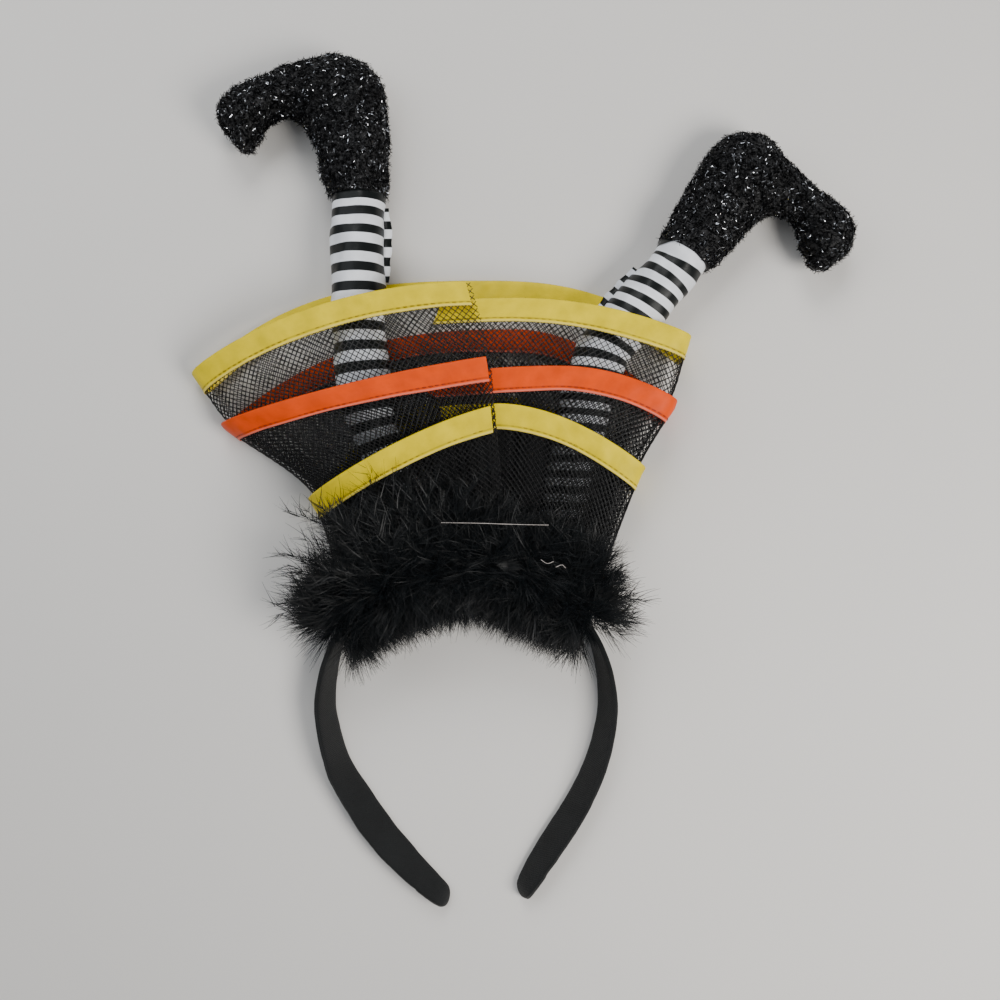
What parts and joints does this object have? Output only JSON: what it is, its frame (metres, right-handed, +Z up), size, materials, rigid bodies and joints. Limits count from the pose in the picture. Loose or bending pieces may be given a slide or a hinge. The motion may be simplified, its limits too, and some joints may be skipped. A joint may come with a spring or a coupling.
{
  "type": "witch leg costume headband",
  "caption": "Costume hair band with a flared skirt of stacked nets with ribbon rims, striped stuffed legs in curled boots, and a feather trim at the crown.",
  "frame": {"origin": "centre of the bounding box on the table that the headband lies on", "axes": "+X across the band to the right, +Y from the arms' tips to the boots, +Z up off the table"},
  "size_m": [0.2856, 0.3672, 0.0393],
  "materials": {
    "band_cloth": "fine matt black cloth stretched over a plastic band",
    "net": "stiff black diamond net",
    "yellow_satin": "yellow satin ribbon, softly shiny",
    "orange_satin": "orange satin ribbon, softly shiny",
    "striped_satin": "satin with black and white stripes, softly stuffed",
    "tinsel": "black looped tinsel fabric with bright glints",
    "feather": "black marabou down"
  },
  "bodies": {
    "root": {"headband": "band_cloth", "net_tall": "net", "net_middle": "net", "net_short": "net", "hem_tall": "yellow_satin", "hem_middle": "orange_satin", "hem_short": "yellow_satin", "stocking_left": "striped_satin", "stocking_right": "striped_satin", "boot_left": "tinsel", "boot_right": "tinsel", "feather_trim": "feather"}
  },
  "joints": []
}
